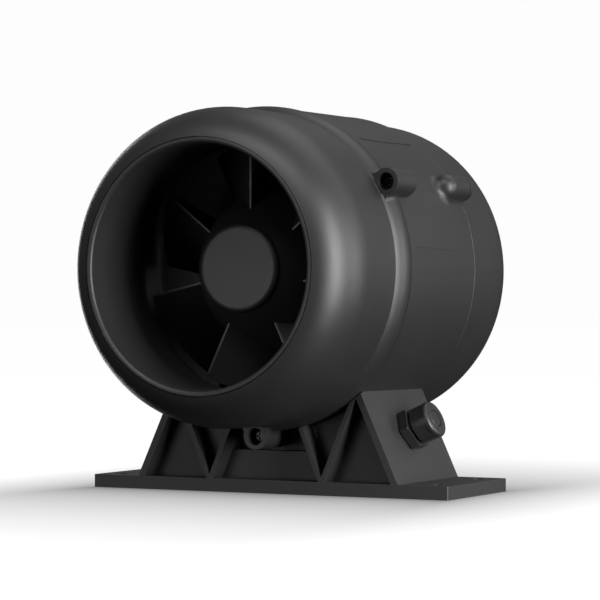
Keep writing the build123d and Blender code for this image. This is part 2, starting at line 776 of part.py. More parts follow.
def make_windings():
    low = stator_yoke_radius + 2.2
    high = stator_radius() - tooth_tip - 1.2
    half = tooth_width / 2 + coil_gap
    coils = []
    for index in range(stator_slots):
        outer = block(low, high, core_front_at - coil_overhang, core_back_at + coil_overhang,
                      -half - coil_thickness, half + coil_thickness)
        inner = block(low - 1, high + 1, core_front_at - coil_gap, core_back_at + coil_gap, -half, half)
        wedge_angle = 180 / stator_slots
        reach = high + 10
        wedge = upright([(1.2, 0), (reach, (reach - 1.2) * tan(radians(wedge_angle))),
                         (reach, -(reach - 1.2) * tan(radians(wedge_angle)))],
                        core_front_at - 20, core_back_at + 20)
        coil = (outer - inner) & wedge
        coils.append(on_axis(turned(coil, index * 360 / stator_slots)))
    return group(coils)


def motor_screw_angles():
    return [30 + index * 120 for index in range(3)]


def make_motor_base():
    disc = rod(base_disc_radius, base_front_at, base_front_at + base_thickness)
    sleeve = rod(bearing_radius + bearing_tube_wall, bearing_front_at, base_front_at + base_thickness)
    body = disc + sleeve
    body -= rod(bearing_radius, bearing_front_at - 1, bearing_front_at + bearing_width)
    body -= rod(bearing_radius - 1.6, bearing_front_at, base_front_at + base_thickness + 1)
    body -= rod(bearing_radius, bearing_back_at, base_front_at + base_thickness + 1)
    for angle in motor_screw_angles():
        hole = rod(screw_shank_radius, base_front_at - 1, base_front_at + 10, motor_screw_circle)
        body -= turned(hole, angle)
    return on_axis(body)


def make_motor_screws():
    head_at = base_front_at + base_thickness + motor_flange_thickness
    length = base_thickness + motor_flange_thickness - 0.5
    shape = Pos(motor_screw_circle, head_at, 0) * Rot(-90, 0, 0) * screw(length)
    return group([on_axis(turned(shape, angle)) for angle in motor_screw_angles()])


# ---- foot ----
def saddle_screw_places():
    """Angle around the axis and place along it of each screw that ties the foot to the barrel."""
    return [(270 + side * saddle_screw_angle, plate_offset + way * saddle_screw_reach)
            for side in (-1, 1) for way in (-1, 1)]


def slanted_wall(side):
    top = axis_height
    foot_out = side_wall_foot + plate_thickness * slope
    points = [(side * foot_out, 0), (side * (foot_out - top * slope), top),
              (side * (foot_out - side_wall_width - top * slope), top),
              (side * (foot_out - side_wall_width), 0)]
    return upright(points, plate_front, plate_back)


def inside_outline():
    """Everything between the outer faces of the two slanted walls."""
    foot_out = side_wall_foot + plate_thickness * slope
    top = axis_height
    points = [(-foot_out, 0), (foot_out, 0), (foot_out - top * slope, top), (-foot_out + top * slope, top)]
    return upright(points, plate_front - 1, plate_back + 1)


def v_ribs(front, back):
    """The leaning ribs that stand in Vs in front of a web."""
    ribs = None
    for foot in (-rib_foot, rib_foot):
        for lean in (-rib_lean, rib_lean):
            run = axis_height * tan(radians(lean))
            half = rib_thickness / 2 / cos(radians(lean))
            base = plate_thickness - 1
            points = [(foot - half, base), (foot + half, base), (foot + half + run, base + axis_height),
                      (foot - half + run, base + axis_height)]
            rib = upright(points, front, back)
            ribs = rib if ribs is None else ribs + rib
    return ribs


def pocket_pair(low, high):
    """A pocket under the barrel for the lowest screws: its solid block and the hollow to cut from it."""
    half = pocket_half_width
    wall = web_thickness
    solid = block(-half - wall, half + wall, low, high, pocket_floor - wall, axis_height)
    hollow_low = low if low == web_front_face else low + wall
    hollow_high = high if high == web_back_face else high - wall
    return solid, block(-half, half, hollow_low, hollow_high, pocket_floor, axis_height)


def foot_upper():
    """Walls, webs, ribs, saddle and pockets, before they are trimmed to the casing."""
    upper = slanted_wall(-1) + slanted_wall(1)
    half = plate_length / 2
    base = plate_thickness - 1
    for low, high in ((web_front_face, web_front_face + web_thickness),
                      (web_back_face - web_thickness, web_back_face)):
        upper += block(-half, half, low, high, base, axis_height)
    upper += v_ribs(plate_front, web_front_face + 1)
    upper += v_ribs(web_back_face - 1, plate_back)
    upper += on_axis(rod(saddle_radius + saddle_thickness, web_front_face + 1, web_back_face - 1))
    for low, high in ((web_front_face, web_front_face + front_pocket_depth),
                      (web_back_face - rear_pocket_depth, web_back_face)):
        solid, hollow = pocket_pair(low, high)
        upper += solid
        upper -= hollow
    return upper & inside_outline()


def make_base_bracket():
    plate = block(-plate_length / 2, plate_length / 2, plate_front, plate_back, 0, plate_thickness)
    plate = fillet(plate.edges().filter_by(Axis.Z), plate_edge_round)
    upper = foot_upper()
    upper -= on_axis(cone_barrel(saddle_gap, barrel_front_at - 40, barrel_back_at + 40))
    upper -= on_axis(rod(bead_radius + bead_clearance, plate_front - 20, bell_back_at + 1.2))
    upper -= block(-plate_length, plate_length, plate_front - 20, plate_back + 20, foot_top, 400)
    body = plate + upper
    half_x = window_length / 2
    half_y = window_width / 2
    for margin, top in ((0, plate_thickness + 1), (cover_margin, cover_thickness)):
        body -= block(-half_x - margin, half_x + margin, plate_offset - half_y - margin,
                      plate_offset + half_y + margin, -1, top)
    for x, y in foot_hole_places():
        body -= Pos(x, y, 0) * Cylinder(foot_hole_radius, 60)
    for x, y in cover_screw_places():
        body -= Pos(x, y, 0) * Cylinder(screw_shank_radius, 2 * (plate_thickness - 0.8))
    for angle, along in saddle_screw_places():
        hole = Rot(0, 90, 0) * Cylinder(clearance_hole_radius, 30)
        body -= on_axis(turned(Pos(saddle_radius - 10, along, 0) * hole, angle))
    body -= on_axis(lead_bore(grommet_radius))
    body -= gland_place() * Cylinder(gland_inside_radius + 0.2, 30)
    return body.solid()


def foot_hole_places():
    return [(sx * foot_hole_spacing_x / 2, plate_offset + sy * foot_hole_spacing_y / 2)
            for sx in (-1, 1) for sy in (-1, 1)]


def cover_screw_places():
    return [(side * (window_length + cover_margin) / 2, plate_offset) for side in (-1, 1)]


def make_terminal_cover():
    reach_x = window_length / 2 + cover_margin - cover_gap
    reach_y = window_width / 2 + cover_margin - cover_gap
    cover = block(-reach_x, reach_x, plate_offset - reach_y, plate_offset + reach_y, 0.2, cover_thickness)
    cover = fillet(cover.edges().filter_by(Axis.Z), 2.0)
    for x, y in cover_screw_places():
        cover -= Pos(x, y, 0) * Cylinder(clearance_hole_radius, 30)
        sink = Cone(countersink_radius, clearance_hole_radius, countersink_depth,
                    align=(Align.CENTER, Align.CENTER, Align.MIN))
        cover -= Pos(x, y, 0.1) * sink
    return cover


def make_cover_screws():
    screws = []
    for x, y in cover_screw_places():
        head = Cone(countersink_radius - 0.4, screw_shank_radius, countersink_depth - 0.4,
                    align=(Align.CENTER, Align.CENTER, Align.MIN))
        shank = Cylinder(screw_shank_radius - thread_gap, cover_screw_length - 0.3,
                         align=(Align.CENTER, Align.CENTER, Align.MIN))
        body = head + shank
        for angle in (0, 90):
            body -= Rot(0, 0, angle) * Box(cross_length, cross_width, 2 * 0.9)
        screws.append(Pos(x, y, 0.3) * body)
    return group(screws)


def make_saddle_screws():
    screws = []
    for angle, along in saddle_screw_places():
        shape = Rot(0, 90, 0) * screw(short_screw_length)
        seat = saddle_radius + saddle_thickness + 0.02
        screws.append(on_axis(turned(Pos(seat, along, 0) * shape, angle)))
    return group(screws)


# ---- gland ----
def gland_place():
    """Location on the right-hand wall's outer face, with local Z pointing out of the wall."""
    along_x = side_wall_foot - gland_up_slope * sin(radians(side_wall_lean))
    up_z = plate_thickness + gland_up_slope * cos(radians(side_wall_lean))
    return Pos(along_x, plate_offset, up_z) * Rot(0, 90 - side_wall_lean, 0)


def wall_normal_thickness():
    return side_wall_width * cos(radians(side_wall_lean))


def upward(radius, start, end):
    return Pos(0, 0, start) * Cylinder(radius, end - start, align=(Align.CENTER, Align.CENTER, Align.MIN))


def hexagon(across_flats, start, end):
    face = RegularPolygon(across_flats / 2, 6, major_radius=False, rotation=30)
    return Pos(0, 0, start) * extrude(face, amount=end - start)


def make_gland_washer():
    ring = upward(gland_across_flats / 2 - 0.6, 0, gland_washer_thickness)
    return gland_place() * (ring - upward(gland_inside_radius + 0.1, -1, 3))


def make_gland_body():
    low = gland_washer_thickness
    top = low + gland_hex_height
    nut = hexagon(gland_across_flats, low, top)
    corner_radius = gland_across_flats / (2 * cos(radians(30)))
    nut &= Pos(0, 0, low) * Cone(corner_radius + 4.5, corner_radius - 0.5, gland_hex_height,
                                 align=(Align.CENTER, Align.CENTER, Align.MIN))
    neck = upward(gland_thread_radius, top - 1, top + gland_thread_length)
    stem = upward(gland_inside_radius, -gland_inside_length, low + 1)
    body = nut + neck + stem - upward(gland_bore_radius + 1.2, -30, 40)
    shelf = upward(gland_bore_radius + 1.8, low, low + 2) - upward(gland_bore_radius - 0.4, -30, 40)
    return gland_place() * (body + shelf)


def make_gland_locknut():
    outer_face = -wall_normal_thickness()
    nut = hexagon(gland_across_flats, outer_face - locknut_thickness, outer_face - 0.02)
    nut -= upward(gland_inside_radius + thread_gap, -40, 10)
    return gland_place() * nut


def gland_stack():
    """Heights above the wall of the shelf's top, the seal's top and the slip ring's top."""
    shelf_top = gland_washer_thickness + 2.0
    neck_top = gland_washer_thickness + gland_hex_height + gland_thread_length
    seal_top = neck_top + 1.0
    return shelf_top, seal_top, seal_top + slip_ring_length


def make_gland_seal():
    shelf_top, seal_top = gland_stack()[:2]
    ring = upward(gland_bore_radius + 1.1, shelf_top + 0.02, seal_top)
    ring -= upward(plug_radius, -10, 40)
    return gland_place() * ring


def make_gland_slip_ring():
    seal_top, ring_top = gland_stack()[1:]
    ring = upward(gland_thread_radius - 0.2, seal_top + 0.05, ring_top)
    ring -= upward(plug_radius + plug_gap, -10, 40)
    return gland_place() * ring


def make_gland_cap():
    top = cap_gap_at + cap_length
    ring_top = gland_stack()[2]
    cap = upward(cap_radius, cap_gap_at, top)
    cap = fillet(cap.edges().filter_by(GeomType.CIRCLE).sort_by(Axis.Z)[-1], cap_rounding)
    flats = hexagon(cap_across_flats, cap_gap_at - 1, top - cap_rounding)
    flats += upward(cap_radius + 1, top - 3, top + 1)
    cap &= flats
    cap -= upward(gland_thread_radius + cap_thread_gap, cap_gap_at - 1, ring_top + 0.05)
    cap -= upward(cap_hole_radius, 0, 60)
    return gland_place() * cap


def make_gland_plug():
    top = cap_gap_at + cap_length
    pin = upward(plug_radius - 0.02, gland_stack()[0] + 0.1, top - 0.1)
    pin = fillet(pin.edges().filter_by(GeomType.CIRCLE).sort_by(Axis.Z)[-1], 0.5)
    return gland_place() * pin


# ---- terminal chamber ----
def lead_path():
    start = (lead_start, lead_at)
    corner = (lead_drop, lead_at)
    end = (lead_drop, block_place()[1] + block_size[1])
    return FilletPolyline(start, corner, end, radius=lead_bend)


def make_motor_lead():
    path = lead_path()
    section = Plane(origin=path @ 0, z_dir=path % 0) * Circle(lead_radius)
    lead = sweep(section, path=path)
    return on_axis(turned(lead, lead_angle))


def make_lead_grommet():
    start = barrel_bore_radius + 0.3
    end = saddle_radius + saddle_thickness
    sleeve = Pos(0, 0, start) * Cylinder(grommet_radius - 0.05, end - start + 1.2,
                                         align=(Align.CENTER, Align.CENTER, Align.MIN))
    rim = Pos(0, 0, end + 0.25) * Cylinder(grommet_flange_radius, grommet_flange,
                                           align=(Align.CENTER, Align.CENTER, Align.MIN))
    bore = Cylinder(lead_radius + 0.02, 400)
    grommet = Rot(0, 90, 0) * (sleeve + rim - bore)
    return on_axis(turned(Pos(0, lead_at, 0) * grommet, lead_angle))


def block_place():
    x_low, z_low = block_low
    y_low = web_front_face + web_thickness + 0.02
    return x_low, y_low, z_low


def make_terminal_block():
    x_low, y_low, z_low = block_place()
    width, depth, height = block_size
    body = block(x_low, x_low + width, y_low, y_low + depth, z_low, z_low + height)
    pitch = width / block_pole_count
    for index in range(block_pole_count):
        x = x_low + pitch * (index + 0.5)
        well = Cylinder(block_well_radius, block_well_depth, align=(Align.CENTER, Align.CENTER, Align.MIN))
        body -= Pos(x, y_low + depth * 0.5, z_low - 0.01) * well
    return body


def make_terminal_screws():
    x_low, y_low, z_low = block_place()
    width, depth, height = block_size
    pitch = width / block_pole_count
    screws = []
    for index in range(block_pole_count):
        x = x_low + pitch * (index + 0.5)
        pin = Cylinder(block_well_radius - 0.3, 3.2, align=(Align.CENTER, Align.CENTER, Align.MIN))
        pin -= Box(2 * block_well_radius, 0.7, 1.4)
        screws.append(Pos(x, y_low + depth * 0.5, z_low + block_well_depth - 3.22) * pin)
    return group(screws)


def make_capacitor():
    start = web_back_face - web_thickness - capacitor_end_gap - capacitor_length
    can = rod(capacitor_radius, start, start + capacitor_length, capacitor_x, capacitor_z)
    can = fillet(can.edges().filter_by(GeomType.CIRCLE), 1.2)
    return can


def make_capacitor_clip():
    half = clip_width / 2
    middle = web_back_face - rear_pocket_depth + half + 1
    outer = capacitor_radius + clip_wall
    band = rod(outer, middle - half, middle + half, capacitor_x, capacitor_z)
    band -= rod(capacitor_radius + 0.02, middle - half - 1, middle + half + 1, capacitor_x, capacitor_z)
    wall_side = -pocket_half_width - web_thickness
    stem = block(capacitor_x, wall_side - 0.02, middle - half, middle + half, capacitor_z, capacitor_z + 4)
    stem -= rod(capacitor_radius + 0.02, middle - half - 1, middle + half + 1, capacitor_x, capacitor_z)
    return band + stem


parts = {
    "base_bracket": make_base_bracket,
    "terminal_cover": make_terminal_cover,
    "cover_screws": make_cover_screws,
    "saddle_screws": make_saddle_screws,
    "barrel": make_barrel,
    "front_bell": make_front_bell,
    "front_seal": lambda: make_seal(front_seam_at, barrel_front_radius - 0.9),
    "front_screws": make_front_screws,
    "rear_bell": make_rear_bell,
    "rear_seal": lambda: make_seal(rear_seam_at, flange_radius - 0.9),
    "rear_screws": make_rear_screws,
    "inlet_ring": make_inlet_ring,
    "outlet_ring": make_outlet_ring,
    "outlet_cone": make_outlet_cone,
    "impeller_shroud": make_impeller_shroud,
    "guide_vanes": make_guide_vanes,
    "tail_cone": make_tail_cone,
    "impeller": make_impeller,
    "nose_cap": make_nose_cap,
    "impeller_screws": make_impeller_screws,
    "rotor_cup": make_rotor_cup,
    "rotor_core": make_rotor_core,
    "shaft": make_shaft,
    "shaft_clip": make_shaft_clip,
    "front_bearing": lambda: make_bearing(bearing_front_at),
    "rear_bearing": lambda: make_bearing(bearing_back_at),
    "stator_core": make_stator_core,
    "windings": make_windings,
    "motor_base": make_motor_base,
    "motor_screws": make_motor_screws,
    "motor_lead": make_motor_lead,
    "lead_grommet": make_lead_grommet,
    "terminal_block": make_terminal_block,
    "terminal_screws": make_terminal_screws,
    "capacitor": make_capacitor,
    "capacitor_clip": make_capacitor_clip,
    "gland_washer": make_gland_washer,
    "gland_body": make_gland_body,
    "gland_locknut": make_gland_locknut,
    "gland_seal": make_gland_seal,
    "gland_slip_ring": make_gland_slip_ring,
    "gland_cap": make_gland_cap,
    "gland_plug": make_gland_plug,
}

os.makedirs("parts", exist_ok=True)
for name, make in parts.items():
    solid = make()
    export_step(solid, f"parts/{name}.step")
    print(name, round(solid.volume, 1), len(solid.solids()))
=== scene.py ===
# %% [markdown]
# # An inline duct fan, finished around its engineering model
# The engineering model already holds every part at its true size and place. This script adds what that
# model leaves out: the grain of the moulded plastic, the wear and painted highlights on its edges, the
# small raised details, and the light and camera. Every length here is in metres, because Blender works in
# metres, while the engineering model was drawn in millimetres.

# %% Load the frame
import bpy
import json
from math import cos, pi, radians, sin
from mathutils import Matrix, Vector


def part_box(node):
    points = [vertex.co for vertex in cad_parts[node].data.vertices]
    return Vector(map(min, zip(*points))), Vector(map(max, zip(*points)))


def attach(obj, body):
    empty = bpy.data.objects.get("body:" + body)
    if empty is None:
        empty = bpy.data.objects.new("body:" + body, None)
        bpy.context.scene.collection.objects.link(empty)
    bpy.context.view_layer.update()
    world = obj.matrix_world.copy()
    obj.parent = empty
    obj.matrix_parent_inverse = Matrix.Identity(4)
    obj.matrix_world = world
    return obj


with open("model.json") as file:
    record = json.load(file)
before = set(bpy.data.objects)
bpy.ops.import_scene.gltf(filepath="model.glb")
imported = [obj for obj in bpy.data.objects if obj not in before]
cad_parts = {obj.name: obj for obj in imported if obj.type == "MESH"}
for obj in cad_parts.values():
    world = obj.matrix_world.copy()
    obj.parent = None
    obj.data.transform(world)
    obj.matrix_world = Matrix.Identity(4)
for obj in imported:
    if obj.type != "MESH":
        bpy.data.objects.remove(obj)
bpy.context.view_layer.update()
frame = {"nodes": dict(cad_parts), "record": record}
nodes = frame["nodes"]
MM = 0.001

# %% [markdown]
# ## Reading sizes from the frame
# A piece that is added has to sit exactly on the part that carries it. The boxes of the parts give those
# places: the middle of the inlet ring's box is a point on the fan's axis, and half its width is the
# ring's radius. Working this way, a changed part carries its details along.

# %% Places taken from the parts
def low_high(node):
    low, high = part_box(node)
    return Vector(low), Vector(high)


ring_low, ring_high = low_high("inlet_ring")
barrel_high = low_high("barrel")[1]
plate_high = low_high("base_bracket")[1]
axis_z = (ring_low.z + ring_high.z) / 2
print("axis height", round(axis_z, 4))

# %% [markdown]
# ## Camera
# A product picture is taken from far away with a long lens, so that round openings stay round. The
# camera stands 1.6 m away, 28 degrees to the right of the inlet and a little below the fan's axis. It
# is tipped up by a quarter of a degree.

# %% Place the camera
camera_turn = 28.11
camera_tilt = 90.24
camera_place = Vector((0.75126, -1.39976, 0.11351))
lens_length = 150.26

camera_data = bpy.data.cameras.new("studio_camera")
camera_data.lens = lens_length
camera_data.sensor_width = 36.0
camera_data.clip_start = 0.05
camera_data.clip_end = 50.0
camera = bpy.data.objects.new("studio_camera", camera_data)
bpy.context.scene.collection.objects.link(camera)
camera.location = camera_place
camera.rotation_euler = (radians(camera_tilt), 0.0, radians(camera_turn))
bpy.context.scene.camera = camera
print("camera at", tuple(round(v, 3) for v in camera.location))

# %% [markdown]
# ## Small helpers for modelling
# Operators work on whatever is selected, and a freshly loaded model is selected all over. These helpers
# clear the selection first, take one piece at a time, name it, settle it and tidy its normals.

# %% Selection and modelling helpers
def clear_selection():
    if bpy.context.mode != "OBJECT":
        bpy.ops.object.mode_set(mode="OBJECT")
    bpy.ops.object.select_all(action="DESELECT")


def take(piece):
    clear_selection()
    piece.select_set(True)
    bpy.context.view_layer.objects.active = piece


def name_it(name):
    piece = bpy.context.active_object
    piece.name = name
    piece.data.name = name
    return piece


def settle(piece):
    """Put the piece's place, turn and size into its mesh, so its object sits at the origin."""
    take(piece)
    bpy.ops.object.transform_apply(location=True, rotation=True, scale=True)


def tidy_normals(piece):
    take(piece)
    bpy.ops.object.mode_set(mode="EDIT")
    bpy.ops.mesh.select_all(action="SELECT")
    bpy.ops.mesh.remove_doubles(threshold=1e-6)
    bpy.ops.mesh.normals_make_consistent(inside=False)
    bpy.ops.object.mode_set(mode="OBJECT")


print("helpers ready")

# %% [markdown]
# ## Studio
# A product shot of a black object needs very little light, placed with care: black plastic shows the
# lights it mirrors more than its own colour. The paper floor and the round wall behind it are stage
# pieces. They are hidden from the light that bounces and cast no shadow, so that a white studio doesn't
# turn the black fan grey.

# %% Floor and backdrop
def stage_piece(piece):
    piece.visible_diffuse = False
    piece.visible_glossy = False
    piece.visible_transmission = False
    piece.visible_shadow = False


backdrop_radius = 14.0
bpy.ops.mesh.primitive_circle_add(vertices=96, radius=backdrop_radius, fill_type="NGON")
floor = name_it("studio_floor")
stage_piece(floor)

bpy.ops.mesh.primitive_uv_sphere_add(segments=64, ring_count=32, radius=backdrop_radius)
backdrop = name_it("studio_backdrop")
take(backdrop)
bpy.ops.object.mode_set(mode="EDIT")
bpy.ops.mesh.select_all(action="SELECT")
bpy.ops.mesh.bisect(plane_co=(0.0, 0.0, 0.0), plane_no=(0.0, 0.0, 1.0), clear_inner=True)
bpy.ops.mesh.select_all(action="SELECT")
bpy.ops.mesh.flip_normals()
bpy.ops.object.mode_set(mode="OBJECT")
stage_piece(backdrop)
print("stage pieces:", floor.name, backdrop.name)

# %% [markdown]
# ## Lights
# Seven soft boxes, each placed by its angle around the fan, its distance and its height. The shoulder
# strip draws the long bright line down the inlet end. The narrow bead strip, further round, draws the
# line on the bead behind it, and the side box fills the barrel's flank. The top box separates the top
# of the casing from the background. The high front box lights the inlet's upper edge, the front box
# gives the foot its tone, and the left rim box draws the thin pale edge on the far side.

# %% Lights and sky
def soft_box(name, turn, distance, height, width, tall, watts):
    """A rectangular soft light. turn is its angle from straight in front, towards the right."""
    data = bpy.data.lights.new(name, "AREA")
    data.shape = "RECTANGLE"
    data.size = width
    data.size_y = tall
    data.energy = watts
    lamp = bpy.data.objects.new(name, data)
    bpy.context.scene.collection.objects.link(lamp)
    place = Vector((sin(radians(turn)) * distance, -cos(radians(turn)) * distance, height))
    lamp.location = place
    aim = Vector((0.0, 0.0, axis_z))
    lamp.rotation_euler = (aim - place).to_track_quat("-Z", "Y").to_euler()


soft_box("shoulder_strip", turn=73.0, distance=1.5, height=0.26, width=0.40, tall=1.2, watts=43.0)
soft_box("bead_strip", turn=116.0, distance=1.6, height=0.25, width=0.10, tall=0.8, watts=9.0)
soft_box("side_box", turn=128.0, distance=1.9, height=1.20, width=1.2, tall=1.2, watts=4.0)
soft_box("top_box", turn=160.0, distance=0.9, height=1.9, width=1.6, tall=1.2, watts=8.0)
soft_box("high_front_box", turn=8.0, distance=1.4, height=1.8, width=1.8, tall=0.8, watts=27.0)
soft_box("front_box", turn=-20.0, distance=1.8, height=0.10, width=0.8, tall=0.7, watts=4.2)
soft_box("left_rim_box", turn=-128.0, distance=1.8, height=0.20, width=0.3, tall=1.4, watts=8.0)

sky_starts, sky_ends = -0.15, 0.65
sky_low_strength, sky_high_strength = 0.03, 0.20
world = bpy.data.worlds.new("studio_sky")
bpy.context.scene.world = world
world.use_nodes = True
sky = world.node_tree
direction = sky.nodes.new("ShaderNodeTexCoord")
height_of = sky.nodes.new("ShaderNodeSeparateXYZ")
shade = sky.nodes.new("ShaderNodeMapRange")
shade.inputs["From Min"].default_value = sky_starts
shade.inputs["From Max"].default_value = sky_ends
shade.inputs["To Min"].default_value = sky_low_strength
shade.inputs["To Max"].default_value = sky_high_strength
sky.links.new(direction.outputs["Generated"], height_of.inputs["Vector"])
sky.links.new(height_of.outputs["Z"], shade.inputs["Value"])
sky.links.new(shade.outputs["Result"], sky.nodes["Background"].inputs["Strength"])
sky.nodes["Background"].inputs["Color"].default_value = (1.0, 1.0, 1.0, 1.0)
bpy.context.scene.view_settings.view_transform = "Standard"

# %% [markdown]
# ## Shader maths as plain Python
# A finish is a recipe: this much grain, a little less gloss where hands rub. Wiring each sum by hand
# hides the recipe, so a tiny class wraps a socket and lets the recipe be written as ordinary sums. Each
# sum adds one Math node.

# %% A socket that can be added and multiplied
class Wire:
    def __init__(self, recipe, socket):
        self.recipe = recipe
        self.socket = socket

    def math(self, operation, first, second):
        return self.recipe.node("ShaderNodeMath", {"operation": operation}, {0: first, 1: second})

    def __add__(self, other):
        return self.math("ADD", self, other)

    def __radd__(self, other):
        return self.math("ADD", other, self)

    def __sub__(self, other):
        return self.math("SUBTRACT", self, other)

    def __rsub__(self, other):
        return self.math("SUBTRACT", other, self)

    def __mul__(self, other):
        return self.math("MULTIPLY", self, other)

    def __rmul__(self, other):
        return self.math("MULTIPLY", other, self)


class Recipe:
    """One material and the nodes that make it."""

    def __init__(self, name):
        self.material = bpy.data.materials.new(name)
        self.material.use_nodes = True
        self.tree = self.material.node_tree
        self.shader = self.tree.nodes["Principled BSDF"]
        self.column = 0

    def node(self, kind, settings=None, values=None, output=0):
        made = self.tree.nodes.new(kind)
        self.column += 1
        made.location = (-240 * (self.column % 9 + 1), -200 * (self.column // 9))
        for key, value in (settings or {}).items():
            setattr(made, key, value)
        for key, value in (values or {}).items():
            self.feed(made.inputs[key], value)
        return Wire(self, made.outputs[output])

    def feed(self, socket, value):
        if isinstance(value, Wire):
            self.tree.links.new(value.socket, socket)
        else:
            socket.default_value = value

    def set(self, name, value):
        self.feed(self.shader.inputs[name], value)

    def place(self):
        return self.node("ShaderNodeTexCoord", output="Object")

    def noise(self, scale, detail=2.0, roughness=0.5, stretch=None):
        source = self.place()
        if stretch:
            source = self.node("ShaderNodeMapping", None, {"Vector": source, "Scale": stretch})
        return self.node("ShaderNodeTexNoise", None,
                         {"Vector": source, "Scale": scale, "Detail": detail, "Roughness": roughness})

    def range(self, value, low, high, to_low, to_high):
        return self.node("ShaderNodeMapRange", {"clamp": True},
                         {"Value": value, "From Min": low, "From Max": high,
                          "To Min": to_low, "To Max": to_high})

    def blend_colour(self, factor, first, second):
        return self.node("ShaderNodeMix", {"data_type": "RGBA"}, {0: factor, 6: first, 7: second}, output=2)

    def edge(self, reach):
        """1 on sharp outward edges and 0 on flats, from the way a rounded normal leaves the true one."""
        bevel = self.node("ShaderNodeBevel", {"samples": 4}, {"Radius": reach})
        true = self.node("ShaderNodeNewGeometry", output="Normal")
        dot = self.node("ShaderNodeVectorMath", {"operation": "DOT_PRODUCT"}, {0: bevel, 1: true},
                        output="Value")
        return self.range(dot, 0.75, 0.99, 1.0, 0.0)

    def bump(self, height, strength, distance):
        return self.node("ShaderNodeBump", None,
                         {"Strength": strength, "Distance": distance, "Height": height})


print("shader helper ready")

# %% [markdown]
# ## Moulded black plastic
# The shell is injection-moulded and spark-eroded to a fine matt grain, about half a millimetre across.
# The grain is a high-frequency noise in the bump only. A slow noise shifts the roughness a little, as
# handling does, and the outer edges are slightly paler, partly where the grain is polished off and partly
# as a painted highlight along them.

# %% Plastics
def grey(value):
    return (value, value, value, 1.0)


def moulded_plastic(name, shade, roughness, grain, worn_and_highlit_edge_tone):
    recipe = Recipe(name)
    fine = recipe.noise(2600.0, 2.0, 0.55)
    mid = recipe.noise(900.0, 3.0, 0.6)
    slow = recipe.noise(14.0, 3.0, 0.5)
    # Paler outer edges: partly wear where the grain is polished off, partly a painted highlight along them.
    worn_and_highlit_edges = recipe.edge(0.0006) * recipe.range(recipe.noise(60.0, 3.0), 0.35, 0.65, 0.35, 1.0)
    base = recipe.blend_colour(recipe.range(slow, 0.3, 0.7, 0.0, 1.0), grey(shade * 0.93), grey(shade * 1.07))
    speckled = recipe.blend_colour(recipe.range(fine, 0.45, 0.75, 0.0, 0.35), base, grey(shade * 1.35))
    recipe.set("Base Color", recipe.blend_colour(worn_and_highlit_edges * 0.6, speckled, grey(worn_and_highlit_edge_tone)))
    rough = roughness + (slow - 0.5) * 0.10 + (mid - 0.5) * 0.08 - worn_and_highlit_edges * 0.08
    recipe.set("Roughness", rough)
    recipe.set("IOR", 1.5)
    recipe.set("Specular IOR Level", 0.5)
    height = fine * 0.6 + mid * 0.4
    recipe.set("Normal", recipe.bump(height, grain, 0.0002))
    return recipe.material


# The last number of each plastic is its paler edge tone, partly wear and partly a painted highlight.
finishes = {
    "casing_plastic": moulded_plastic("casing_plastic", 0.0125, 0.46, 0.30, 0.040),
    "foot_plastic": moulded_plastic("foot_plastic", 0.0135, 0.52, 0.34, 0.050),
    "impeller_plastic": moulded_plastic("impeller_plastic", 0.022, 0.44, 0.16, 0.050),
    "inner_plastic": moulded_plastic("inner_plastic", 0.010, 0.42, 0.14, 0.030),
    "gland_plastic": moulded_plastic("gland_plastic", 0.014, 0.40, 0.20, 0.055),
    "terminal_plastic": moulded_plastic("terminal_plastic", 0.55, 0.45, 0.15, 0.65),
    "capacitor_can": moulded_plastic("capacitor_can", 0.42, 0.30, 0.10, 0.50),
}
print("plastics:", sorted(finishes))

# %% [markdown]
# ## Rubber, steel, alloy, laminations and copper
# Rubber is dull and slightly dusty. Zinc-plated steel has fine random scratches and a soft yellow-grey
# cast. Laminations are thin sheets stacked along the axis, so their bands follow the Y coordinate, and
# the winding's wires run around each tooth, so their bands follow it too.

# %% Rubbers and metals
def rubber(name, shade):
    recipe = Recipe(name)
    dust = recipe.noise(220.0, 4.0, 0.65)
    dusty = recipe.range(dust, 0.4, 0.8, 0.0, 0.5)
    recipe.set("Base Color", recipe.blend_colour(dusty, grey(shade), grey(shade * 2.2)))
    recipe.set("Roughness", 0.72 + (dust - 0.5) * 0.2)
    recipe.set("Normal", recipe.bump(dust, 0.2, 0.0001))
    return recipe.material


def metal(name, colour, roughness, scratch):
    recipe = Recipe(name)
    streak = recipe.noise(900.0, 4.0, 0.6, stretch=(1.0, 0.06, 1.0))
    cloud = recipe.noise(120.0, 3.0, 0.5)
    darker = tuple(c * 0.72 for c in colour[:3]) + (1.0,)
    recipe.set("Base Color", recipe.blend_colour(recipe.range(cloud, 0.3, 0.7, 0.0, 1.0), darker, colour))
    recipe.set("Metallic", 1.0)
    recipe.set("Roughness", roughness + (streak - 0.5) * 0.25)
    recipe.set("Normal", recipe.bump(streak, scratch, 0.00005))
    return recipe.material


def banded(name, colour, other, pitch, axis, roughness, metallic):
    recipe = Recipe(name)
    parts_of_place = recipe.node("ShaderNodeSeparateXYZ", None, {"Vector": recipe.place()}, output=axis)
    wave = recipe.node("ShaderNodeMath", {"operation": "SINE"}, {0: parts_of_place * (2 * pi / pitch)})
    band = recipe.range(wave, -1.0, 1.0, 0.0, 1.0)
    recipe.set("Base Color", recipe.blend_colour(band, other, colour))
    recipe.set("Metallic", metallic)
    recipe.set("Roughness", roughness + band * 0.1)
    recipe.set("Normal", recipe.bump(band, 0.5, pitch * 0.3))
    return recipe.material


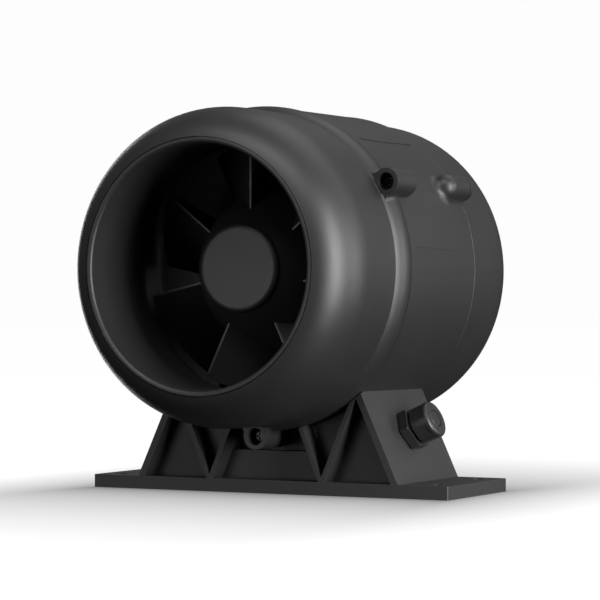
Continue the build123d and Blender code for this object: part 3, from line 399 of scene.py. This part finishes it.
finishes["seal_rubber"] = rubber("seal_rubber", 0.006)
finishes["black_steel"] = metal("black_steel", (0.035, 0.035, 0.038, 1.0), 0.30, 0.4)
finishes["lead_jacket"] = rubber("lead_jacket", 0.010)
finishes["screw_steel"] = metal("screw_steel", (0.30, 0.30, 0.31, 1.0), 0.34, 0.4)
finishes["motor_steel"] = metal("motor_steel", (0.42, 0.42, 0.43, 1.0), 0.30, 0.4)
finishes["motor_alloy"] = metal("motor_alloy", (0.62, 0.63, 0.64, 1.0), 0.42, 0.5)
finishes["laminated_steel"] = banded("laminated_steel", (0.30, 0.30, 0.31, 1.0), (0.06, 0.06, 0.06, 1.0),
                                     0.0005, "Y", 0.40, 1.0)
finishes["copper_winding"] = banded("copper_winding", (0.62, 0.23, 0.09, 1.0), (0.16, 0.05, 0.02, 1.0),
                                    0.0006, "X", 0.30, 0.9)
print("finishes:", len(finishes))

# %% [markdown]
# ## Give every part its finish
# The record says which slot each part takes. The part's own material slots are pointed at the finish of
# that name.

# %% Dress the parts
slot_of = {row["node"]: row["material_slot"] for row in frame["record"]["subparts"]}
for name, part in nodes.items():
    finish = finishes[slot_of[name]]
    if not part.material_slots:
        part.data.materials.append(finish)
    for index in range(len(part.material_slots)):
        part.material_slots[index].material = finish
print("dressed", len(slot_of), "parts")

# %% [markdown]
# ## Small marks on the gland's cap
# The cap's end has a fine raised arc and two raised dots, so that a hand can feel how far it has turned.
# They are drawn flat around the origin, then stood on the cap's own axis, which its joint gives.

# %% Marks on the cap end
joints = {row["name"]: row for row in frame["record"]["behaviour"]["joints"]}
gland_foot = Vector(joints["gland_turn"]["pos_m"])
gland_axis = Vector(joints["gland_turn"]["axis"]).normalized()
gland_turned = gland_axis.to_track_quat("Z", "X").to_euler()


def reach_along_gland(node):
    """How far a part reaches along the gland's axis, measured from the wall it stands on."""
    part = nodes[node]
    return max((part.matrix_world @ vertex.co - gland_foot).dot(gland_axis) for vertex in part.data.vertices)


def on_cap_end(piece):
    """Stand a piece that was drawn around the origin on the cap's end, and let it turn with the cap."""
    piece.rotation_euler = gland_turned
    piece.location = gland_foot + gland_axis * reach_along_gland("gland_cap")
    settle(piece)
    tidy_normals(piece)
    piece.data.materials.append(finishes["gland_plastic"])
    take(piece)
    bpy.ops.object.shade_smooth_by_angle(angle=radians(40.0))
    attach(piece, "gland_nut")


mark_circle = 7.4 * MM
mark_radius = 0.28 * MM
bpy.ops.mesh.primitive_torus_add(major_segments=72, minor_segments=12, major_radius=mark_circle,
                                 minor_radius=mark_radius)
cap_arc = name_it("cap_arc")
bpy.ops.object.mode_set(mode="EDIT")
bpy.ops.mesh.select_all(action="SELECT")
bpy.ops.mesh.bisect(plane_co=(0.0, 0.2 * mark_circle, 0.0), plane_no=(0.3, 1.0, 0.0), clear_inner=True,
                    use_fill=True)
bpy.ops.object.mode_set(mode="OBJECT")
on_cap_end(cap_arc)

dot_radius = 1.6 * mark_radius
for name, turn in (("cap_dot_low", -70.0), ("cap_dot_side", -25.0)):
    place = (cos(radians(turn)) * mark_circle, sin(radians(turn)) * mark_circle, 0.0)
    bpy.ops.mesh.primitive_uv_sphere_add(segments=24, ring_count=12, radius=dot_radius, location=place)
    dot = name_it(name)
    settle(dot)
    on_cap_end(dot)
print("cap marks on", gland_axis)

# %% [markdown]
# ## Seam at the rear of the barrel
# The barrel's last edge carries a hair-thin raised lip where the rear bell meets it. From the side it is a
# pale line that runs around the casing.

# %% Rear seam lip
barrel_radius = barrel_high.z - axis_z
lip_radius = 0.30 * MM
bpy.ops.mesh.primitive_torus_add(major_segments=256, minor_segments=12,
                                 major_radius=barrel_radius - 0.5 * lip_radius, minor_radius=lip_radius,
                                 location=(0.0, barrel_high.y, axis_z), rotation=(radians(90.0), 0.0, 0.0))
rear_lip = name_it("rear_seam_lip")
settle(rear_lip)
tidy_normals(rear_lip)
rear_lip.data.materials.append(finishes["casing_plastic"])
take(rear_lip)
bpy.ops.object.shade_smooth()
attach(rear_lip, "casing")
print("rear lip radius", round(barrel_radius, 4))

# %% [markdown]
# ## Paper finish
# The paper is white enough to vanish into the background, and nearly all of its white is its own glow.
# Under that glow it is almost black, so the lamps' own shadows hardly show on it. The soft contact shadow
# is part of the finish instead: the floor's glow is weak beside the plate and grows with distance from
# it, faster at the plate's ends.

# %% Dress the floor and the backdrop
end_fade = 3.4
shadow_reach = 0.36
shadow_curve = 0.55
floor_glow_near, white_glow = 0.24, 0.98


def past_side(recipe, axis, half):
    """How far a point lies beyond one pair of the plate's sides."""
    place = recipe.node("ShaderNodeSeparateXYZ", None, {"Vector": recipe.place()}, output=axis)
    beyond = recipe.node("ShaderNodeMath", {"operation": "ABSOLUTE"}, {0: place}) - half
    return recipe.node("ShaderNodeMath", {"operation": "MAXIMUM"}, {0: beyond, 1: 0.0})


def paper(name, near_glow, far_glow, shade_low, shade_high):
    recipe = Recipe(name)
    side = past_side(recipe, "X", plate_high.x) * end_fade
    front = past_side(recipe, "Y", plate_high.y)
    away = recipe.node("ShaderNodeMath", {"operation": "SQRT"}, {0: side * side + front * front})
    share = recipe.range(away, 0.0, shadow_reach, 0.0, 1.0)
    far = recipe.node("ShaderNodeMath", {"operation": "POWER"}, {0: share, 1: shadow_curve})
    cloud = recipe.range(recipe.noise(3.0), 0.3, 0.7, 0.0, 1.0)
    recipe.set("Base Color", recipe.blend_colour(cloud, grey(shade_low), grey(shade_high)))
    recipe.set("Roughness", 0.9)
    recipe.set("Specular IOR Level", 0.0)
    recipe.set("Emission Color", recipe.blend_colour(far, grey(near_glow), grey(far_glow)))
    recipe.set("Emission Strength", 1.0)
    return recipe.material


floor.data.materials.append(paper("studio_paper", floor_glow_near, white_glow, 0.05, 0.06))
backdrop.data.materials.append(paper("backdrop_paper", white_glow, white_glow, 0.02, 0.03))
print("paper ready")
